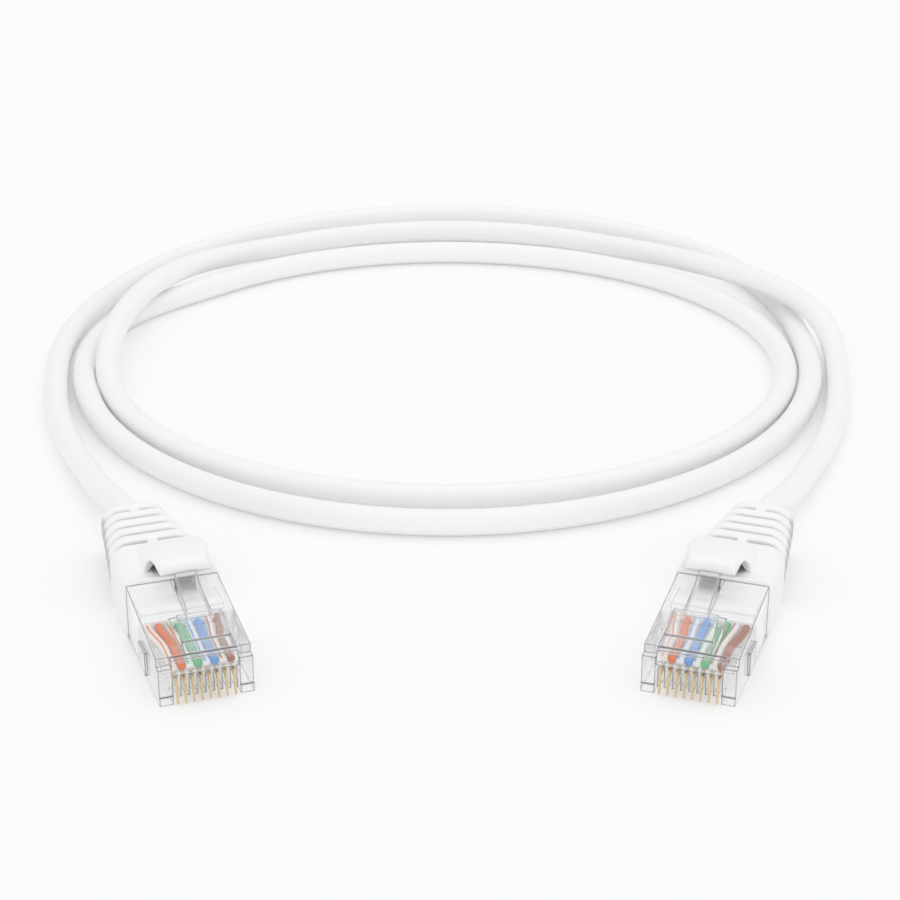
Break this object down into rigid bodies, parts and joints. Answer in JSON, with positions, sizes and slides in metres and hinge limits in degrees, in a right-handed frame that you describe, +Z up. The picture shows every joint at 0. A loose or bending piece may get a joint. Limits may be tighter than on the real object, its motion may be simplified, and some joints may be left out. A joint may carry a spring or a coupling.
{
  "type": "ethernet patch cable",
  "caption": "White slim round patch cable laid in a loose coil, with a clear modular plug, gold contacts, coloured wires, sprung latch and ribbed snag-proof boot at each end.",
  "frame": {"origin": "on the surface the cable lies on, midway between the two plug ends", "axes": "+Z up; +Y from the plugs' noses towards the coil; +X from the left plug to the right plug"},
  "size_m": [0.1245, 0.1704, 0.0107],
  "materials": {
    "cord_jacket": "smooth satin PVC",
    "boot_rubber": "satin moulded soft PVC",
    "clear_plastic": "clear polished polycarbonate",
    "gold_contact": "gold-plated",
    "white_insert": "satin",
    "wire_white_orange": "satin, white with an orange stripe",
    "wire_orange": "satin",
    "wire_white_green": "satin, white with a green stripe",
    "wire_green": "satin",
    "wire_white_blue": "satin, white with a blue stripe",
    "wire_blue": "satin",
    "wire_white_brown": "satin, white with a brown stripe",
    "wire_brown": "satin"
  },
  "bodies": {
    "root": {"cable_coil": "cord_jacket", "left_lead": "cord_jacket", "left_jacket": "cord_jacket", "left_housing": "clear_plastic", "left_contacts": "gold_contact", "left_wire_comb": "clear_plastic", "left_wire_guide": "white_insert", "left_boot": "boot_rubber", "left_wire_1": "wire_white_orange", "left_wire_2": "wire_orange", "left_wire_3": "wire_white_green", "left_wire_4": "wire_green", "left_wire_5": "wire_white_blue", "left_wire_6": "wire_blue", "left_wire_7": "wire_white_brown", "left_wire_8": "wire_brown", "right_lead": "cord_jacket", "right_jacket": "cord_jacket", "right_housing": "clear_plastic", "right_contacts": "gold_contact", "right_wire_comb": "clear_plastic", "right_wire_guide": "white_insert", "right_boot": "boot_rubber", "right_wire_1": "wire_white_orange", "right_wire_2": "wire_orange", "right_wire_3": "wire_white_blue", "right_wire_4": "wire_blue", "right_wire_5": "wire_white_green", "right_wire_6": "wire_green", "right_wire_7": "wire_white_brown", "right_wire_8": "wire_brown"},
    "left_hood_body": {"left_hood": "boot_rubber"},
    "left_latch_body": {"left_latch": "clear_plastic"},
    "right_hood_body": {"right_hood": "boot_rubber"},
    "right_latch_body": {"right_latch": "clear_plastic"}
  },
  "joints": [
    {"name": "left_hood_press", "type": "hinge", "parent": "root", "child": "left_hood_body", "pos_m": [-0.03743, 0.00575, 0.008], "axis": [0.9455, 0.3256, 0], "range_deg": [0, 6], "stiffness_Nm_per_rad": 0.02},
    {"name": "left_latch_press", "type": "hinge", "parent": "root", "child": "left_latch_body", "pos_m": [-0.02945, -0.01741, 0.006], "axis": [-0.9455, -0.3256, 0], "range_deg": [0, 5], "stiffness_Nm_per_rad": 0.02},
    {"name": "right_hood_press", "type": "hinge", "parent": "root", "child": "right_hood_body", "pos_m": [0.03743, 0.00575, 0.008], "axis": [0.9455, -0.3256, 0], "range_deg": [0, 6], "stiffness_Nm_per_rad": 0.02},
    {"name": "right_latch_press", "type": "hinge", "parent": "root", "child": "right_latch_body", "pos_m": [0.02945, -0.01741, 0.006], "axis": [-0.9455, 0.3256, 0], "range_deg": [0, 5], "stiffness_Nm_per_rad": 0.02}
  ],
  "couplings": [
    {"joint": "left_latch_press", "follows": "left_hood_press", "ratio": 0.8},
    {"joint": "right_latch_press", "follows": "right_hood_press", "ratio": 0.8}
  ]
}
